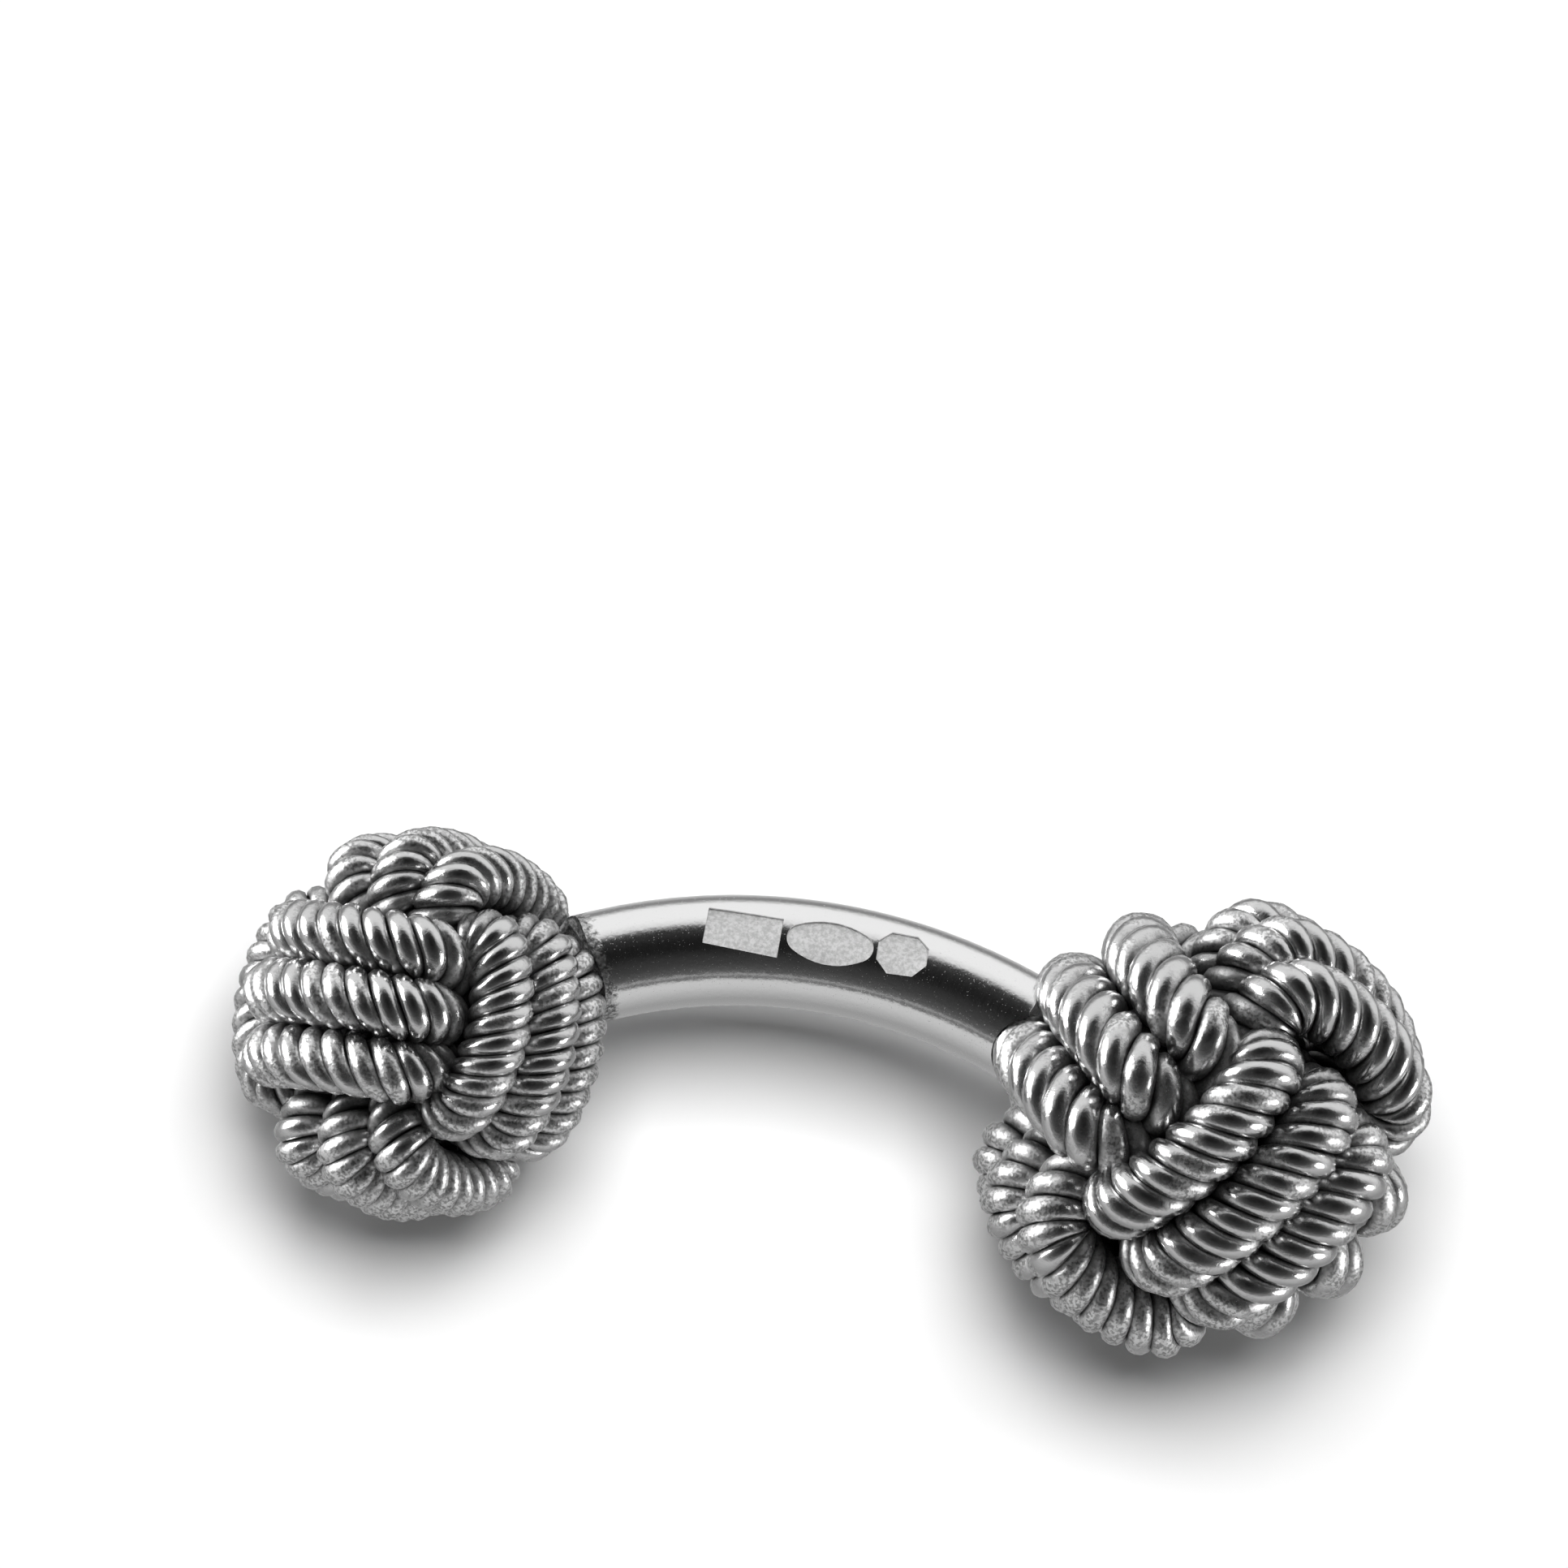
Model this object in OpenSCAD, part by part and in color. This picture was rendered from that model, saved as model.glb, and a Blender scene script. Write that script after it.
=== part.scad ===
// Knot cufflink: a curved round bar between two balls of twisted rope, a larger
// one worn outside the cuff and a smaller one that passes through the buttonholes.
// Each ball is a monkey's fist: three bands of three rope turns, square to each other.
// Band a passes over band b, b over c, and c over a. The piece lies on the plane z = 0.

/* [Knots] */
// Outer diameter of the large knot
large_ball_d = 12.4; // [12.2:0.1:13]
// Diameter of the rope in the large knot
large_rope_d = 2.1; // [1.9:0.01:2.1]
// Outer diameter of the small knot
small_ball_d = 10.6; // [10.4:0.1:11.2]
// Diameter of the rope in the small knot
small_rope_d = 1.77; // [1.6:0.01:1.79]
// How much farther out band b stands than the other bands in the large knot
large_swell = 0.42; // [0:0.01:0.5]
// How much farther out band b stands than the other bands in the small knot
small_swell = 0.22; // [0:0.01:0.22]
// Distance between the centres of the two knots
span = 22; // [21:0.5:24]
// Turning of the large knot about X, Y and Z, in degrees
large_turn = [133, -21, 47]; // [-180:1:180]
// Turning of the small knot about X, Y and Z, in degrees
small_turn = [146, -16, 86]; // [-180:1:180]

/* [Bar] */
// Diameter of the bar
bar_d = 3.1; // [2.6:0.1:3.2]
// Radius of the bar's bend along its centre line
bend_r = 15; // [14:0.5:18]
// Height of the bar's middle over the line between the knots' centres
rise = 3.55; // [2.8:0.05:3.8]
// Tilt of the bar in the plane of its bend, in degrees; below 0 its small end stands higher
bar_tilt = -1.9; // [-3:0.1:3]
// Depth of the three stamped panels
panel_depth = 0.12; // [0.08:0.01:0.2]

/* [Rest] */
// Roll about X that lays the knots on their stable sides, in degrees
rest_roll = -4.5; // [-30:0.1:30]
// Lean about Y that brings both knots down to the same plane, in degrees
rest_lean = -2.3; // [-5:0.05:5]
// Height of the middle between the knots over the plane that they lie on
rest_height = 5.583; // [5.4:0.001:6.4]
// Shift along X and Y that brings the middle of the whole piece over the origin
rest_shift = [-0.537, 0.026]; // [-2:0.001:2]

/* [Hidden] */

silver = "silver";
shaded_silver = "darkgray";

// Shape of a turn, in rope diameters and degrees from the middle of an over-crossing.
// Between these angles a turn dives from the outside of the ball to under the next band.
// Band b starts down sooner on one side, where the knot is flatter
dive_start = 32;
early_dive_start = 21;
dive_end = 52;
dive_depth = 0.96;
// The rope is squeezed to its hidden width from this much before its dive to this angle
squeeze_before = 6;
squeeze_end = 53;
squeezed_r = 0.25;
// Spacing of the three turns of a band, outside and where they are hidden
open_lane = 1;
hidden_lane = 0.54;
// Gap between the core and the hidden turns around it
core_gap = 0.05;

turn_rings = 40;
turn_sides = 10;

// The bar's ends reach this near to each knot's centre, and are coped over the rope
// turns that they are soldered to
large_seat_r = 5.75;
small_seat_r = 5.14;
solder_gap = 0.04;

// The bar's bend, before it is coped, stops this far along X from each knot's centre
bend_stop = 3;
bend_reach = asin((span / 2 - bend_stop) / bend_r);
large_at = [span / 2, 0, 0];
small_at = [-span / 2, 0, 0];

// Panels, struck by hand: a rectangle, an oval and a cut-cornered one. Each has its angle
// along the bend, its roll round the bar, its turn on the surface, and its size
rectangle_at = 9;
rectangle_roll = 0;
rectangle_turn = -10;
rectangle_size = [2.12, 1.14];
oval_at = -0.4;
oval_roll = 5;
oval_turn = 0;
oval_size = [2.45, 1.25];
oval_end_r = 0.42;
octagon_at = -8.2;
octagon_roll = -2;
octagon_turn = 8.5;
octagon_size = [1.42, 1.25];
octagon_cut = 0.35;

function smooth(t) =
    let (c = min(max(t, 0), 1))
    c * c * (3 - 2 * c);

function unit(v) = v / norm(v);

// Angle to the nearest over-crossing of a turn, 0 to 90
function from_over(a) = abs((a + 90) % 180 - 90);

// Where a band's dive starts, on the side of the knot that this angle is on
function start_of_dive(band, a) = band == 1 && sin(a) < 0 ? early_dive_start : dive_start;

// 0 on an over-crossing and 1 where the turn is hidden
function dive(a, start) = smooth((from_over(a) - start) / (dive_end - start));

function squeeze(a, start) =
    smooth((from_over(a) - start + squeeze_before) / (squeeze_end - start + squeeze_before));

// Distance from the knot's centre to the rope's centre line, swell farther out where it shows
function line_r(dive, ball_d, rope_d, swell) =
    (ball_d - rope_d) / 2 + swell * (1 - dive) - dive_depth * rope_d * dive;

function rope_r(squeeze, rope_d) = rope_d * (0.5 + (squeezed_r - 0.5) * squeeze);

// A point of turn k of a band: across the band, towards its under-crossing and its over-crossing
function line_at(k, a, dive, ball_d, rope_d, swell) =
    let (off = k * rope_d * (open_lane + (hidden_lane - open_lane) * dive),
         r = line_r(dive, ball_d, rope_d, swell),
         round_r = sqrt(r * r - off * off))
    [off, round_r * sin(a), round_r * cos(a)];

// Bands 0, 1 and 2 are the same band with its axes passed on in turn
function for_band(band, p) =
    band == 0 ? p :
    band == 1 ? [p[2], p[0], p[1]] :
    [p[1], p[2], p[0]];

module turn(band, k, ball_d, rope_d, swell) {
    step = 360 / turn_rings;
    side = 360 / turn_sides;
    across = for_band(band, [1, 0, 0]);
    line = [
        for (i = [0 : turn_rings - 1])
            let (a = i * step, dive = dive(a, start_of_dive(band, a)))
                for_band(band, line_at(k, a, dive, ball_d, rope_d, swell))
    ];
    points = [
        for (i = [0 : turn_rings - 1])
            let (before = line[(i + turn_rings - 1) % turn_rings],
                 after = line[(i + 1) % turn_rings],
                 along = unit(after - before),
                 u = unit(across - (across * along) * along),
                 v = cross(along, u),
                 a = i * step,
                 r = rope_r(squeeze(a, start_of_dive(band, a)), rope_d))
            for (j = [0 : turn_sides - 1])
                line[i] + r * (cos(j * side) * u + sin(j * side) * v)
    ];
    faces = [
        for (i = [0 : turn_rings - 1], j = [0 : turn_sides - 1])
            let (a = i * turn_sides + j,
                 b = i * turn_sides + (j + 1) % turn_sides,
                 next = ((i + 1) % turn_rings) * turn_sides,
                 c = next + (j + 1) % turn_sides,
                 d = next + j)
            each [[a, c, b], [a, d, c]]
    ];
    polyhedron(points = points, faces = faces);
}

// Radius of the ball inside the hidden turns
function core_r(ball_d, rope_d) =
    (ball_d - rope_d) / 2 - (dive_depth + squeezed_r) * rope_d - core_gap;

module at_rest() {
    translate([rest_shift[0], rest_shift[1], rest_height])
        rotate([rest_roll, rest_lean, 0])
            children();
}

module large_rope(band, k) {
    color(silver)
        at_rest()
            translate(large_at)
                rotate(large_turn)
                    turn(band, k, large_ball_d, large_rope_d, band == 1 ? large_swell : 0);
}

module small_rope(band, k) {
    color(silver)
        at_rest()
            translate(small_at)
                rotate(small_turn)
                    turn(band, k, small_ball_d, small_rope_d, band == 1 ? small_swell : 0);
}

module large_core() {
    color(shaded_silver)
        at_rest()
            translate(large_at)
                sphere(r = core_r(large_ball_d, large_rope_d), $fn = 48);
}

module small_core() {
    color(shaded_silver)
        at_rest()
            translate(small_at)
                sphere(r = core_r(small_ball_d, small_rope_d), $fn = 48);
}

// Carries a thing from the centre of the bend to the bar's place
module at_bar() {
    translate([0, rise, 0])
        rotate(bar_tilt)
            translate([0, -bend_r, 0])
                children();
}

// A round rod of diameter d along the bar's centre line
module rod(d) {
    at_bar()
        rotate(90 - bend_reach)
            rotate_extrude(angle = 2 * bend_reach, $fn = 180)
                translate([bend_r, 0])
                    circle(d = d, $fn = 48);
}

// A punch of the outline given to it, set against the bar
module punch(along, roll, turn) {
    at_bar()
        rotate(along)
            translate([0, bend_r, 0])
                rotate([roll, 0, 0])
                    rotate(turn)
                        linear_extrude(height = bar_d)
                            children();
}

module cut_corners(size, cut) {
    x = size[0] / 2;
    y = size[1] / 2;
    polygon([[x - cut, -y], [x, cut - y], [x, y - cut], [x - cut, y],
             [cut - x, y], [-x, y - cut], [-x, cut - y], [cut - x, -y]]);
}

// An oval of four arcs: one of end_r at each end, and two long ones that run into them
module oval(size, end_r) {
    end_at = size[0] / 2 - end_r;
    half_w = size[1] / 2;
    side_r = (end_at * end_at + half_w * half_w - end_r * end_r) / (2 * (half_w - end_r));
    arcs_meet = end_at * side_r / (side_r - end_r);
    intersection() {
        square([2 * arcs_meet, size[1]], center = true);
        translate([0, half_w - side_r])
            circle(r = side_r, $fn = 180);
        translate([0, side_r - half_w])
            circle(r = side_r, $fn = 180);
    }
    for (x = [-end_at, end_at])
        translate([x, 0])
            circle(r = end_r, $fn = 48);
}

module panels() {
    punch(rectangle_at, rectangle_roll, rectangle_turn)
        square(rectangle_size, center = true);
    punch(oval_at, oval_roll, oval_turn)
        oval(oval_size, oval_end_r);
    punch(octagon_at, octagon_roll, octagon_turn)
        cut_corners(octagon_size, octagon_cut);
}

// The full ring that a turn's outer stretch is part of, with the solder gap around it
module turn_ring(band, k, ball_d, rope_d) {
    off = k * open_lane * rope_d;
    line_r = (ball_d - rope_d) / 2;
    axis_turn = [[0, 90, 0], [90, 0, 0], [0, 0, 0]];
    translate(for_band(band, [off, 0, 0]))
        rotate(axis_turn[band])
            rotate_extrude($fn = 180)
                translate([sqrt(line_r * line_r - off * off), 0])
                    circle(d = rope_d + 2 * solder_gap, $fn = 48);
}

module large_seat() {
    translate(large_at) {
        sphere(r = large_seat_r, $fn = 96);
        rotate(large_turn) {
            turn_ring(0, -1, large_ball_d, large_rope_d);
            turn_ring(0, 0, large_ball_d, large_rope_d);
        }
    }
}

module small_seat() {
    translate(small_at) {
        sphere(r = small_seat_r, $fn = 96);
        rotate(small_turn) {
            turn_ring(0, 1, small_ball_d, small_rope_d);
            turn_ring(2, 1, small_ball_d, small_rope_d);
        }
    }
}

module bar() {
    color(silver)
        at_rest()
            difference() {
                rod(bar_d);
                large_seat();
                small_seat();
                difference() {
                    panels();
                    rod(bar_d - 2 * panel_depth);
                }
            }
}

bar();
large_core();
small_core();
large_rope(0, -1);  // large_rope_a1
large_rope(0, 0);  // large_rope_a2
large_rope(0, 1);  // large_rope_a3
large_rope(1, -1);  // large_rope_b1
large_rope(1, 0);  // large_rope_b2
large_rope(1, 1);  // large_rope_b3
large_rope(2, -1);  // large_rope_c1
large_rope(2, 0);  // large_rope_c2
large_rope(2, 1);  // large_rope_c3
small_rope(0, -1);  // small_rope_a1
small_rope(0, 0);  // small_rope_a2
small_rope(0, 1);  // small_rope_a3
small_rope(1, -1);  // small_rope_b1
small_rope(1, 0);  // small_rope_b2
small_rope(1, 1);  // small_rope_b3
small_rope(2, -1);  // small_rope_c1
small_rope(2, 0);  // small_rope_c2
small_rope(2, 1);  // small_rope_c3
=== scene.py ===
import math

import bpy
import numpy as np
from mathutils import Euler, Matrix, Vector


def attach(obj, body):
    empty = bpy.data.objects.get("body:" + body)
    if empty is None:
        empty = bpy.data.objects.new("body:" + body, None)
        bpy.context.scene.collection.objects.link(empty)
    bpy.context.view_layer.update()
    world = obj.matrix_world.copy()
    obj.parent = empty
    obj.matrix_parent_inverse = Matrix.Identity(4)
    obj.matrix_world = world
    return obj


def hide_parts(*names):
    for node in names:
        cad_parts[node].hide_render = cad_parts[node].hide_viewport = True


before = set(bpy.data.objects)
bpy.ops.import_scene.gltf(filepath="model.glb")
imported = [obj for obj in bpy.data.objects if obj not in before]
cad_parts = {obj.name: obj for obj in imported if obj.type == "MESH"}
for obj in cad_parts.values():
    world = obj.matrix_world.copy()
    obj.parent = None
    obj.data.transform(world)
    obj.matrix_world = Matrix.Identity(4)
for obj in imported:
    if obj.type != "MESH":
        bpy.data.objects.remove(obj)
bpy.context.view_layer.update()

MM = 0.001

# How the cufflink lies. In its own frame the knots' centres are on X, equally far from 0
SPAN = 22 * MM
REST_ROLL = math.radians(-4.5)
REST_LEAN = math.radians(-2.3)
REST_PLACE = Vector((-0.537, 0.026, 5.583)) * MM
AT_REST = Matrix.Translation(REST_PLACE) @ Euler((REST_ROLL, REST_LEAN, 0)).to_matrix().to_4x4()

BAR_R = 1.55 * MM
BEND_R = 15 * MM
RISE = 3.55 * MM
BAR_TILT = math.radians(-1.9)
PANEL_DEPTH = 0.12 * MM
# Where the solder at the small knot ends, from the knot's centre
SOLDER_EDGE = (5.75 * MM, 5.95 * MM)
SOLDER_UNEVEN = 0.6 * MM
# The knots are most pitted below the first height and least above the second
PITTED_HEIGHTS = (6 * MM, 10 * MM)

# Swell is how much farther out a band stands, and lead is how far its wires run in one
# round, in rope diameters
KNOTS = {
    "large": {
        "at": SPAN / 2, "turn": (133, -21, 47), "ball": 12.4 * MM, "rope": 2.1 * MM,
        "swell": {"a": 0, "b": 0.42 * MM, "c": 0},
        "lead": {"a": 1.6, "b": 1.15, "c": 1.2},
    },
    "small": {
        "at": -SPAN / 2, "turn": (146, -16, 86), "ball": 10.6 * MM, "rope": 1.77 * MM,
        "swell": {"a": 0, "b": 0.22 * MM, "c": 0},
        "lead": {"a": 1.3, "b": 1.1, "c": 1.12},
    },
}

SMALL_KNOT_AT = AT_REST @ Vector((-SPAN / 2, 0, 0))

# Shape of a turn, in rope diameters and degrees from the middle of an over-crossing. The dive
# starts at the first number in one half of the turn and at the second in the other
DIVE_START = {"a": (31, 31), "b": (21, 27), "c": (31, 31)}
DIVE_LENGTH = 28
DIVE_DEPTH = 0.96
SQUEEZE_LATER = 5
SQUEEZED = 0.6
OPEN_LANE = 1
HIDDEN_LANE = 0.54
GUIDE_POINTS = 360
# The wires are spaced evenly along a line this far out from the rope's middle
GUIDE_OUT = 0.3

# The twisted wires of a rope, in rope diameters
WIRES = 3
ROPE_R = 0.52
WIRE_OVERLAP = 1.02
WIRE_SIDES = 12
LEAD_STEPS = 24
# How far the crest marks drop where a turn goes down into the knot: painted shade in that recess,
# with oxide
DEPTH_SHADE_AND_OXIDE = 0.5
# Each turn's wires start a little farther round, in degrees, so that no two turns look alike
PHASE_BY_NUMBER = 40
PHASE_BY_BAND = {"a": 0, "b": 17, "c": 34}
# The wires' open ends are joined where they are closer than this
JOIN_WITHIN = 0.002 * MM
# The wires are drawn and twisted by hand, so none is quite even
UNEVENNESS = 0.09 * MM
UNEVEN_OVER = 0.9 * MM

# How each band lies in its knot: the columns are the directions of a turn drawn flat
BANDS = {
    "a": Matrix(((0, 0, 1), (0, -1, 0), (1, 0, 0))),
    "b": Matrix(((1, 0, 0), (0, 0, 1), (0, -1, 0))),
    "c": Matrix(((0, -1, 0), (1, 0, 0), (0, 0, 1))),
}


def deselect():
    """Leaves nothing selected, so that the next operator acts on the new piece alone."""
    bpy.ops.object.select_all(action="DESELECT")


# Materials

class Value:
    """An output socket of a material. Arithmetic on it adds Math nodes."""

    def __init__(self, socket):
        self.socket = socket

    def node(self, kind, settings=None, inputs=None, output=0):
        """Adds a node to the same material: its settings first, then the values or links."""
        tree = self.socket.id_data
        new = tree.nodes.new(kind)
        for name, setting in (settings or {}).items():
            if name == "stops":
                ramp = new.color_ramp
                while len(ramp.elements) < len(setting):
                    ramp.elements.new(0.5)
                for element, (position, shade) in zip(ramp.elements, setting):
                    element.position = position
                    element.color = (shade, shade, shade, 1)
            else:
                setattr(new, name, setting)
        for name, value in (inputs or {}).items():
            socket = new.inputs[name]
            if isinstance(value, Value):
                tree.links.new(value.socket, socket)
            else:
                socket.default_value = value
        return Value(new.outputs[output])

    def maths(self, operation, *others, swapped=False):
        """A Math node on this and the others, in that order unless they are swapped."""
        inputs = [self, *others]
        if swapped:
            inputs.reverse()
        return self.node("ShaderNodeMath", {"operation": operation}, dict(enumerate(inputs)))

    def __add__(self, other):
        return self.maths("ADD", other)

    def __sub__(self, other):
        return self.maths("SUBTRACT", other)

    def __rsub__(self, other):
        return self.maths("SUBTRACT", other, swapped=True)

    def __mul__(self, other):
        return self.maths("MULTIPLY", other)

    def __truediv__(self, other):
        return self.maths("DIVIDE", other)

    __radd__ = __add__
    __rmul__ = __mul__

    def ramp(self, low, high):
        """0 below low, 1 above high, smooth between."""
        return self.node("ShaderNodeMapRange", {"interpolation_type": "SMOOTHSTEP"},
                         {"Value": self, "From Min": low, "From Max": high})

    def blend(self, dark, light):
        """A colour between dark, where this is 0, and light, where it is 1."""
        return self.node("ShaderNodeMix", {"data_type": "RGBA"},
                         {"Factor": self, 6: dark, 7: light}, output=2)

    def noise(self, size, detail=2, roughness=0.5):
        """Noise of about that size on a place."""
        return self.node(
            "ShaderNodeTexNoise", {"noise_dimensions": "3D"},
            {"Vector": self, "Scale": 1 / size, "Detail": detail, "Roughness": roughness},
        )

    def moved(self, matrix):
        """This place turned and shifted by a matrix."""
        shift, turning = tuple(matrix.to_translation()), tuple(matrix.to_euler())
        return self.node(
            "ShaderNodeMapping", {"vector_type": "POINT"},
            {"Vector": self, "Location": shift, "Rotation": turning},
        )

    def parts(self):
        """The three numbers of a place."""
        x = self.node("ShaderNodeSeparateXYZ", None, {0: self})
        return x, Value(x.socket.node.outputs[1]), Value(x.socket.node.outputs[2])

    def with_parts(self, y, z):
        """A place whose three numbers are this and the two others."""
        return self.node("ShaderNodeCombineXYZ", None, {0: self, 1: y, 2: z})

    def distance(self, point):
        """How far this place is from a point."""
        return self.node(
            "ShaderNodeVectorMath", {"operation": "DISTANCE"}, {0: self, 1: point}, output="Value",
        )

    def bump(self, depth, strength=1):
        """A bumped normal from this height, which is 0 to 1, over that depth."""
        return self.node(
            "ShaderNodeBump", None, {"Height": self, "Distance": depth, "Strength": strength},
        )


def material(name):
    """A new material, with its surface shader and the place on the piece to paint by."""
    new = bpy.data.materials.new(name)
    new.use_nodes = True
    tree = new.node_tree
    surface = next(node for node in tree.nodes if node.type == "BSDF_PRINCIPLED")
    place = Value(tree.nodes.new("ShaderNodeTexCoord").outputs["Object"])
    return new, surface, place


def connect(surface, **values):
    """Sets or links the surface's sockets, with _ for the spaces in their names."""
    for name, value in values.items():
        socket = surface.inputs[name.replace("_", " ")]
        if isinstance(value, Value):
            value.socket.id_data.links.new(value.socket, socket)
        else:
            socket.default_value = value


def grey(shade):
    """The neutral colour of that shade."""
    return (shade, shade, shade, 1)


def rope_silver():
    """Silver wire, polished on its crests and darkened in the grooves between the wires."""
    new, surface, place = material("rope_silver")
    # The crest mark is also lower where a turn goes down into the knot: painted shade there, with
    # oxide
    crest = place.node("ShaderNodeAttribute", {"attribute_name": "crest"}, output="Fac")
    cloud = place.noise(0.5 * MM, detail=3)
    grain = place.noise(0.10 * MM, detail=3, roughness=0.7)
    clean_and_lit = (crest + (cloud - 0.5) * 0.6 + (grain - 0.5) * 0.5).ramp(0.35, 0.95)
    # Polishing has hardly reached some places, mostly low on the knots: the metal is pitted there
    low = 1 - place.parts()[2].ramp(*PITTED_HEIGHTS)
    matt = (place.noise(1.5 * MM, detail=2) + low * 0.14).ramp(0.50, 0.63)
    pits = place.noise(0.10 * MM, detail=2).ramp(0.40, 0.62)
    pitted = pits.blend(grey(0.96), grey(0.31))
    connect(
        surface,
        Base_Color=(matt * clean_and_lit * 0.8).blend(clean_and_lit.blend(grey(0.09), grey(0.66)), pitted),
        Metallic=0.9 + clean_and_lit * 0.1,
        Roughness=0.38 - clean_and_lit * 0.24 + grain * 0.08 + matt * 0.17,
        Normal=(grain * (0.6 + matt * 0.6)).bump(0.02 * MM, 0.6),
    )
    return new


def bar_silver():
    """Polished silver with fine marks round the bar, frosted inside the stamped panels."""
    new, surface, place = material("bar_silver")
    # The bar's own frame has its centre at the middle of the bend
    bend = AT_REST @ Matrix.Translation((0, RISE, 0)) @ Matrix.Rotation(BAR_TILT, 4, "Z")
    bend = bend @ Matrix.Translation((0, -BEND_R, 0))
    x, y, side = place.moved(bend.inverted()).parts()
    out = (x * x + y * y).maths("SQRT") - BEND_R
    along = x.maths("ARCTAN2", y) * BEND_R
    # The panels are what lies deeper than the round surface of the bar
    depth = BAR_R - (out * out + side * side).maths("SQRT")
    frosted = depth.ramp(0.3 * PANEL_DEPTH, 0.7 * PANEL_DEPTH)
    round_marks = along.with_parts(out * 0.08, side * 0.08).noise(0.035 * MM, detail=3)
    ripple = place.noise(0.16 * MM, detail=2)
    specks = place.noise(0.05 * MM, detail=2).ramp(0.66, 0.74)
    frost = place.noise(0.05 * MM, detail=3, roughness=0.7)
    # Solder has run out from the small knot in a rough, grainy collar
    collar = 1 - (place.distance(SMALL_KNOT_AT) + ripple * SOLDER_UNEVEN).ramp(*SOLDER_EDGE)
    grain = place.noise(0.12 * MM, detail=3, roughness=0.7)
    speckle = grain.ramp(0.35, 0.65)
    height = (
        ripple * 1.5 + round_marks * 0.6 - specks * 0.5
        + frosted * (frost * 2 + grain * 4) + collar * grain * 6
    )
    colour = frosted.blend(grey(0.87), speckle.blend(grey(0.40), grey(0.58)))
    colour = collar.blend(colour, speckle.blend(grey(0.15), grey(0.75)))
    connect(
        surface,
        Base_Color=colour,
        Metallic=1 - frosted * 0.75,
        Roughness=0.10 + round_marks * 0.12 + specks * 0.2 + frosted * 0.35 + collar * 0.25,
        Normal=height.bump(0.004 * MM, 0.8),
    )
    return new


def dark_silver():
    """Dark, dull silver of the ball inside a knot."""
    new, surface, place = material("dark_silver")
    cloud = place.noise(0.4 * MM, detail=3)
    connect(
        surface,
        Base_Color=cloud.blend(grey(0.05), grey(0.12)),
        Metallic=0.8,
        Roughness=0.5 + cloud * 0.2,
        Normal=cloud.bump(0.02 * MM, 0.5),
    )
    return new


def white_paper():
    """White paper, faintly cloudy."""
    new, surface, place = material("white_paper")
    cloud = place.noise(3 * MM, detail=2)
    connect(surface, Base_Color=cloud.blend(grey(0.90), grey(0.92)), Roughness=0.9)
    return new


# The ropes

def eased(t):
    """From 0 to 1 in two even bends, as a rope takes them."""
    c = min(max(t, 0), 1)
    return 2 * c * c if c < 0.5 else 1 - 2 * (1 - c) ** 2


def dived(angle, start):
    """0 up to start degrees from the middle of an over-crossing, and 1 where the turn is hidden."""
    from_over = abs((angle + 90) % 180 - 90)
    return eased((from_over - start) / DIVE_LENGTH)


def turn_point(size, band, k, angle):
    """A point of turn k's centre line, drawn flat, and the rope's width there."""
    start = DIVE_START[band][0 if angle % 360 < 180 else 1]
    dive = dived(angle, start)
    rope = size["rope"]
    off = k * rope * (OPEN_LANE + (HIDDEN_LANE - OPEN_LANE) * dive)
    out = (size["ball"] - rope) / 2 + size["swell"][band] * (1 - dive) - DIVE_DEPTH * rope * dive
    round_r = math.sqrt(out * out - off * off)
    a = math.radians(angle)
    width = 1 + (SQUEEZED - 1) * dived(angle, start + SQUEEZE_LATER)
    return Vector((round_r * math.cos(a), round_r * math.sin(a), off)), width


def turn_guide(name, size, band, k):
    """A line along the outer side of turn k, drawn flat, with the rope's width at each point."""
    guide = bpy.data.curves.new(name, "CURVE")
    guide.dimensions = "3D"
    guide.twist_mode = "Z_UP"
    guide.use_radius = True
    line = guide.splines.new("POLY")
    line.points.add(GUIDE_POINTS - 1)
    line.use_cyclic_u = True
    step = 360 / GUIDE_POINTS
    for i, point in enumerate(line.points):
        before, place, after = (turn_point(size, band, k, (i + n) * step) for n in (-1, 0, 1))
        outward = (after[0] - before[0]).cross(Vector((0, 0, 1))).normalized()
        middle, width = place
        point.co = (*(middle + outward * GUIDE_OUT * size["rope"] * width), 1)
        point.radius = width
    piece = bpy.data.objects.new(name, guide)
    bpy.context.scene.collection.objects.link(piece)
    return piece, line.calc_length()


def wire_radius(lead):
    """The radius at which three twisted wires just overlap, for a lead in rope diameters."""
    wire = ROPE_R / WIRES
    # The slant hangs on the radius itself, which settles in a few rounds
    for _ in range(8):
        slant = math.atan(2 * math.pi * (ROPE_R - wire) / lead)
        wire = WIRE_OVERLAP * lead / (2 * WIRES) * math.sin(slant)
    return wire


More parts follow.
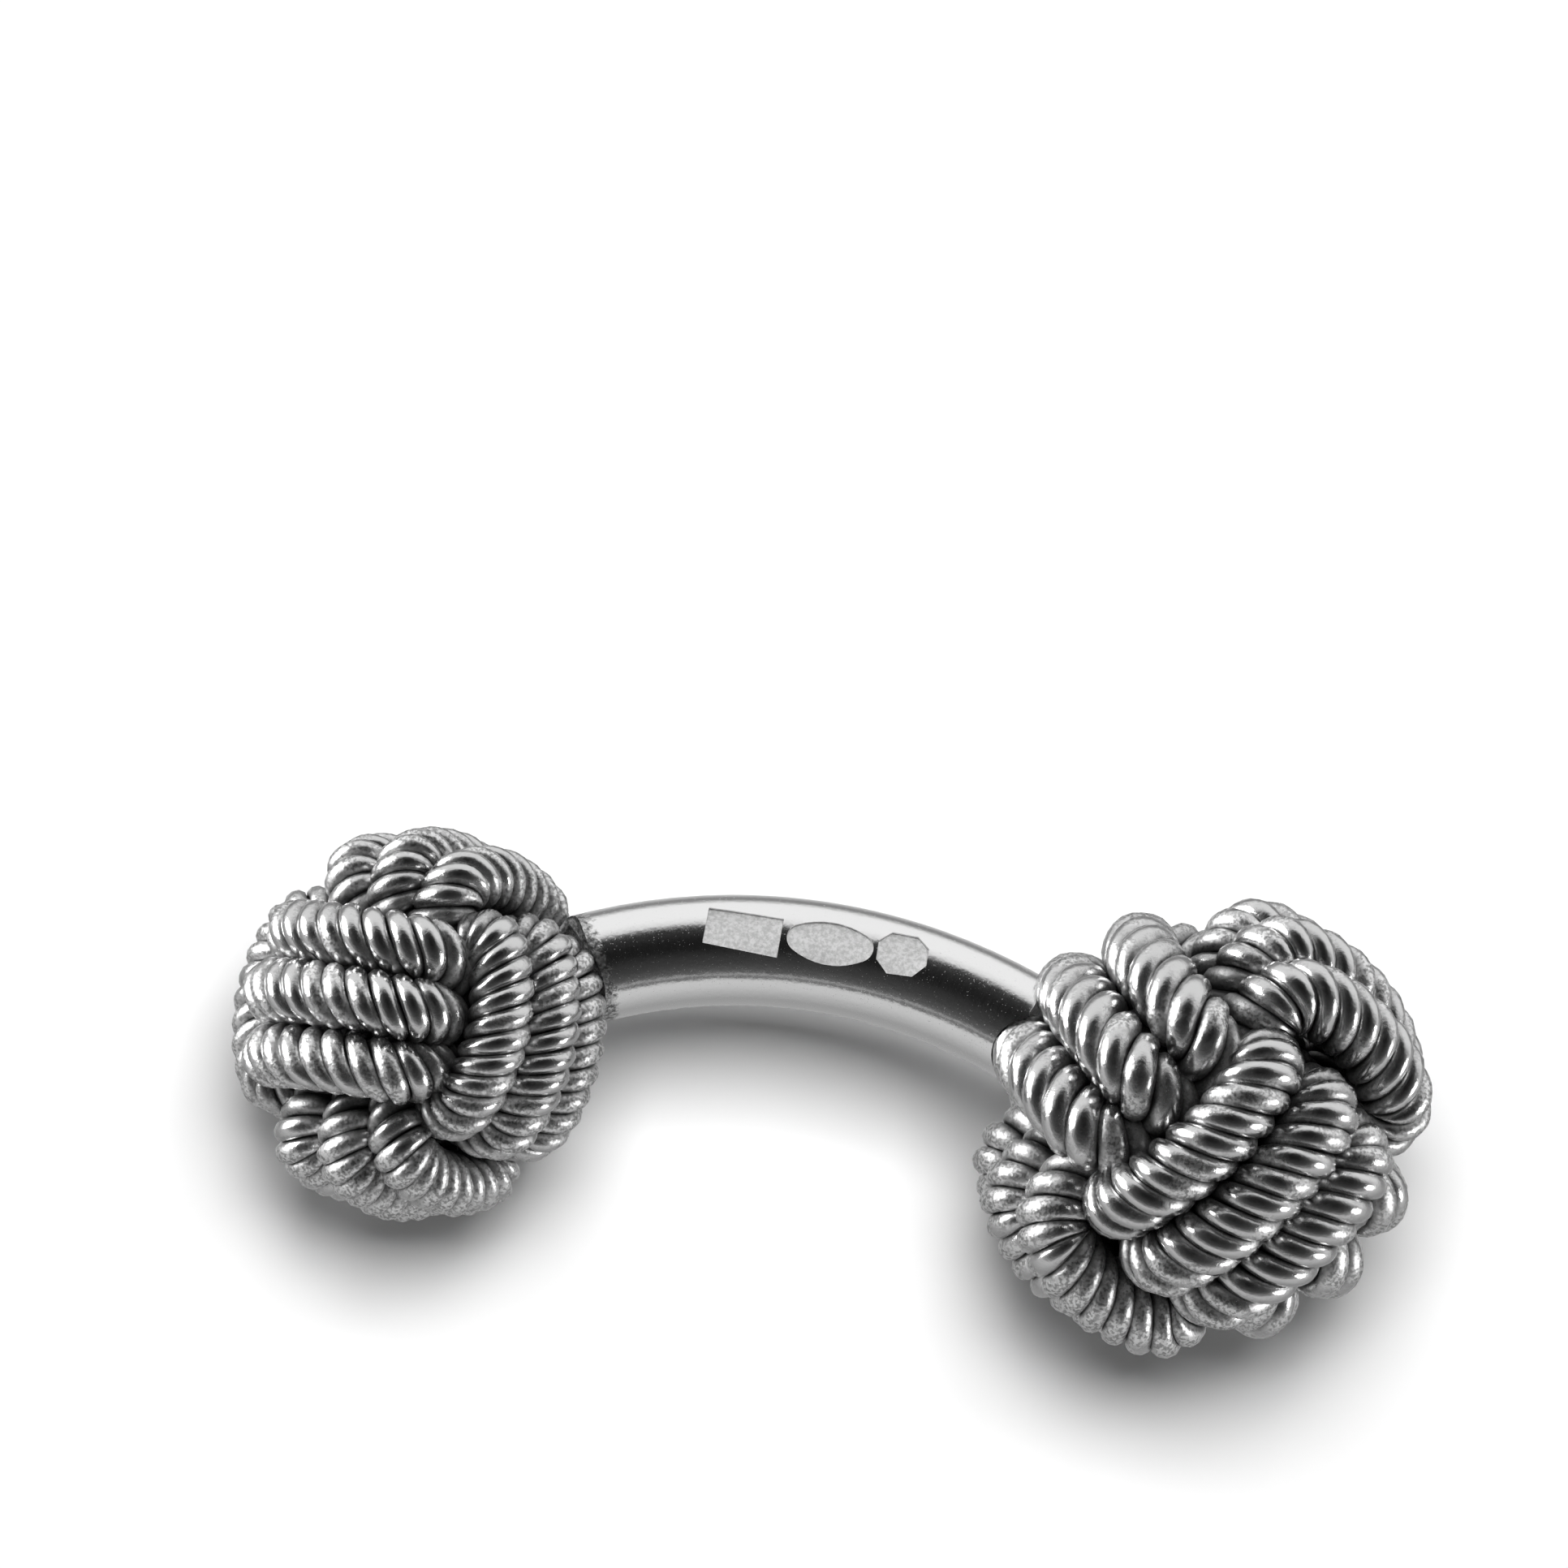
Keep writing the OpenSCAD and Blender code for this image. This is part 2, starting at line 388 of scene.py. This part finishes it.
def straight_rope(name, rope, length, wanted_lead, phase):
    """Three wires twisted to the right round the X axis, a whole number of leads long."""
    leads = round(length / wanted_lead)
    lead = length / leads
    wire = wire_radius(lead / rope) * rope
    wire_out = ROPE_R * rope - wire
    deselect()
    bpy.ops.mesh.primitive_circle_add(
        vertices=WIRE_SIDES,
        radius=wire,
        location=(0, 0, wire_out),
        rotation=(math.pi / 2, 0, 0),
    )
    piece = bpy.context.object
    piece.name = name
    bpy.ops.object.transform_apply(location=True, rotation=True, scale=True)
    # The wire crosses the X axis at a slant, so its section there is longer along X
    way_round = 2 * math.pi * wire_out
    slant = math.hypot(lead, way_round) / way_round
    bpy.ops.object.mode_set(mode="EDIT")
    bpy.ops.mesh.select_all(action="SELECT")
    bpy.ops.transform.resize(value=(slant, 1, 1), center_override=(0, 0, 0))
    bpy.ops.transform.rotate(value=phase, orient_axis="X", center_override=(0, 0, 0))
    for _ in range(WIRES - 1):
        bpy.ops.mesh.duplicate()
        bpy.ops.transform.rotate(
            value=2 * math.pi / WIRES, orient_axis="X", center_override=(0, 0, 0),
        )
    bpy.ops.object.mode_set(mode="OBJECT")
    twist = piece.modifiers.new("twist", "SCREW")
    twist.axis = "X"
    twist.angle = 2 * math.pi
    twist.screw_offset = lead
    twist.steps = twist.render_steps = LEAD_STEPS
    twist.iterations = leads
    bpy.ops.object.modifier_apply(modifier="twist")
    mark_crests(piece, wire_out, wire)
    return piece


def mark_crests(piece, wire_out, wire):
    """Marks each wire from 0, at the rope's middle, to 1, on its outside."""
    mesh = piece.data
    places = np.empty(len(mesh.vertices) * 3)
    mesh.vertices.foreach_get("co", places)
    out = np.hypot(places[1::3], places[2::3])
    crest = mesh.attributes.new("crest", "FLOAT", "POINT")
    crest.data.foreach_set("value", (out - wire_out + wire) / (2 * wire))


def paint_depth_shade_and_oxide(piece, centre, ball, rope):
    """Lowers the marks where a turn goes down into the knot: painted shade, and oxide there."""
    mesh = piece.data
    places = np.empty(len(mesh.vertices) * 3)
    mesh.vertices.foreach_get("co", places)
    out = np.linalg.norm(places.reshape(-1, 3) - np.array(centre), axis=1)
    depth = np.clip((ball / 2 - out) / rope, 0, 1)
    crest = mesh.attributes["crest"]
    marks = np.empty(len(mesh.vertices))
    crest.data.foreach_get("value", marks)
    crest.data.foreach_set("value", marks - DEPTH_SHADE_AND_OXIDE * depth)


def rope_turn(knot, band, number, finish, hand_work):
    """One closed turn of twisted wires, in place of the smooth turn of the same name."""
    size = KNOTS[knot]
    node = f"{knot}_rope_{band}{number}"
    guide, length = turn_guide(node + "_guide", size, band, number - 2)
    phase = math.radians(PHASE_BY_NUMBER * number + PHASE_BY_BAND[band])
    wanted_lead = size["lead"][band] * size["rope"]
    piece = straight_rope("twisted_" + node, size["rope"], length, wanted_lead, phase)
    # The strand lies beside its guide, towards the middle of the knot
    piece.location = (0, GUIDE_OUT * size["rope"], 0)
    bpy.ops.object.transform_apply(location=True, rotation=True, scale=True)
    bend = piece.modifiers.new("bend", "CURVE")
    bend.object = guide
    bend.deform_axis = "POS_X"
    bpy.ops.object.modifier_apply(modifier="bend")
    bpy.data.objects.remove(guide)
    bpy.ops.object.mode_set(mode="EDIT")
    # The open ends of the wires meet where the turn closes
    bpy.ops.mesh.select_all(action="DESELECT")
    bpy.ops.mesh.select_non_manifold()
    bpy.ops.mesh.remove_doubles(threshold=JOIN_WITHIN)
    bpy.ops.mesh.select_all(action="SELECT")
    bpy.ops.mesh.normals_make_consistent(inside=False)
    bpy.ops.object.mode_set(mode="OBJECT")
    turning = Euler([math.radians(v) for v in size["turn"]]).to_matrix()
    piece.matrix_world = (
        AT_REST
        @ Matrix.Translation((size["at"], 0, 0))
        @ (turning @ BANDS[band]).to_4x4()
    )
    bpy.ops.object.transform_apply(location=True, rotation=True, scale=True)
    uneven = piece.modifiers.new("uneven", "DISPLACE")
    uneven.texture = hand_work
    uneven.strength = UNEVENNESS
    bpy.ops.object.modifier_apply(modifier="uneven")
    # Painted shade, with oxide, where the turn goes down into the knot
    paint_depth_shade_and_oxide(piece, AT_REST @ Vector((size["at"], 0, 0)), size["ball"], size["rope"])
    bpy.ops.object.shade_smooth()
    piece.data.materials.append(finish)
    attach(piece, "root")
    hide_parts(node)


wire_finish = rope_silver()
hand_work = bpy.data.textures.new("hand_work", "CLOUDS")
hand_work.noise_scale = UNEVEN_OVER
for knot in KNOTS:
    for band in BANDS:
        for number in (1, 2, 3):
            rope_turn(knot, band, number, wire_finish, hand_work)


# The CAD solids that show as they are

def finish_node(node, finish):
    """Gives a CAD solid its finish."""
    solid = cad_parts[node]
    solid.data.materials.clear()
    solid.data.materials.append(finish)


finish_node("bar", bar_silver())
core_finish = dark_silver()
for core in ("large_core", "small_core"):
    finish_node(core, core_finish)


# The table, the lights and the camera

TABLE_SIZE = 1.2
TABLE_TOP = -0.02 * MM

# The metal is lit by the side lamps, which show in it as bright spots. The paper is lit by the
# lamps over the table, which throw the soft shadow and don't show in the metal
LAMP_TARGET = Vector((0, 0, 0.006))
LAMPS = {
    "left_lamp": {"at": (-0.27, 0.06, 0.06), "size": (0.18, 0.16), "power": 1.05, "lights": "metal"},
    "right_lamp": {"at": (0.27, -0.06, 0.06), "size": (0.10, 0.08), "power": 0.25, "lights": "metal"},
    "over_table": {"at": (0, 0.043, 0.35), "size": (0.21, 0.21), "power": 1.48, "lights": "paper"},
    "ceiling": {"at": (0, 0, 0.70), "size": (1.2, 1.2), "power": 0.77, "lights": "paper"},
}

# What stands round the cufflink in front and behind, from the paper up to the dark ceiling:
# heights in degrees over the horizon, and the brightness there
FRONT_SIDE = (
    (-90, 0.4), (-45, 0.35),              # the paper
    (-5, 0.6), (10, 0.65),                # a low pale board
    (14, 0.12), (20, 0.12),               # a dark gap
    (21, 0.45), (23, 0.45),               # a strip of light
    (25, 0.12), (45, 0.05), (80, 0.01),   # the dark room
)
BACK_SIDE = (
    (-90, 0.4), (-60, 0.7),               # the paper
    (-35, 0.25), (-25, 0.25),             # the cufflink's shade on it
    (-10, 0.95), (30, 0.95), (45, 0.75),  # a pale wall
    (50, 0.2), (55, 0.03), (80, 0.01),    # the dark ceiling
)

# The photograph's view, from above and a little turned about its own axis, and how far its
# middle lies to the right of the cufflink's and above it
VIEW_RIGHT = Vector((0.9896, 0.1224, 0.0783))
VIEW_UP = Vector((-0.1408, 0.9453, 0.2923))
VIEW_BACK = Vector((-0.0382, -0.3005, 0.9527))
VIEW_WIDTH = 43.8 * MM
VIEW_DISTANCE = 450 * MM
MIDDLE_RIGHT = -0.68 * MM
MIDDLE_UP = 8.18 * MM
SENSOR_WIDTH_MM = 36


def floor():
    """White paper just under the cufflink, which stands for the table."""
    deselect()
    bpy.ops.mesh.primitive_plane_add(size=TABLE_SIZE, location=(0, 0, TABLE_TOP))
    piece = bpy.context.object
    piece.name = "table"
    bpy.ops.object.transform_apply(location=True, rotation=True, scale=True)
    piece.data.materials.append(white_paper())
    piece.visible_glossy = False


def softbox(name, at, size, power, lights):
    """A rectangular lamp that is aimed at the cufflink and lights the metal or the paper alone."""
    light = bpy.data.lights.new(name, "AREA")
    light.shape = "RECTANGLE"
    light.size, light.size_y = size
    light.energy = power
    lamp = bpy.data.objects.new(name, light)
    lamp.location = at
    aim = LAMP_TARGET - Vector(at)
    lamp.rotation_euler = aim.to_track_quat("-Z", "Y").to_euler()
    lamp.visible_diffuse = lights == "paper"
    lamp.visible_glossy = lights == "metal"
    bpy.context.scene.collection.objects.link(lamp)


def brightness(steps, direction_z):
    """The brightness of one side of the studio in a direction, by its height."""
    height = direction_z.maths("ARCSINE") / math.pi + 0.5
    stops = [(angle / 180 + 0.5, shade) for angle, shade in steps]
    return height.node("ShaderNodeValToRGB", {"stops": stops}, {0: height})


def studio():
    """What the metal reflects: a pale wall behind, a low pale band in front and dark overhead."""
    world = bpy.data.worlds.new("studio")
    world.use_nodes = True
    # It shows in the metal alone, and the lamps light the table
    world.cycles_visibility.diffuse = False
    background = world.node_tree.nodes["Background"]
    direction = Value(world.node_tree.nodes.new("ShaderNodeTexCoord").outputs["Generated"])
    x, y, z = direction.parts()
    behind = y.ramp(0, 0.6)
    backdrop = behind.node(
        "ShaderNodeMix", {"data_type": "RGBA"},
        {"Factor": behind, 6: brightness(FRONT_SIDE, z), 7: brightness(BACK_SIDE, z)}, output=2,
    )
    world.node_tree.links.new(backdrop.socket, background.inputs["Color"])
    bpy.context.scene.world = world


def place_camera():
    """The camera, at the photograph's angle and distance."""
    camera = bpy.data.cameras.new("camera")
    camera.sensor_width = SENSOR_WIDTH_MM
    camera.lens = SENSOR_WIDTH_MM * VIEW_DISTANCE / VIEW_WIDTH
    camera.clip_start = 0.01
    stand = bpy.data.objects.new("camera", camera)
    middle = REST_PLACE + VIEW_RIGHT * MIDDLE_RIGHT + VIEW_UP * MIDDLE_UP
    turning = Matrix((VIEW_RIGHT, VIEW_UP, VIEW_BACK)).transposed().to_4x4()
    stand.matrix_world = Matrix.Translation(middle + VIEW_BACK * VIEW_DISTANCE) @ turning
    bpy.context.scene.collection.objects.link(stand)
    bpy.context.scene.camera = stand


floor()
studio()
for name, lamp in LAMPS.items():
    softbox(name, **lamp)
place_camera()
bpy.context.scene.view_settings.view_transform = "Standard"
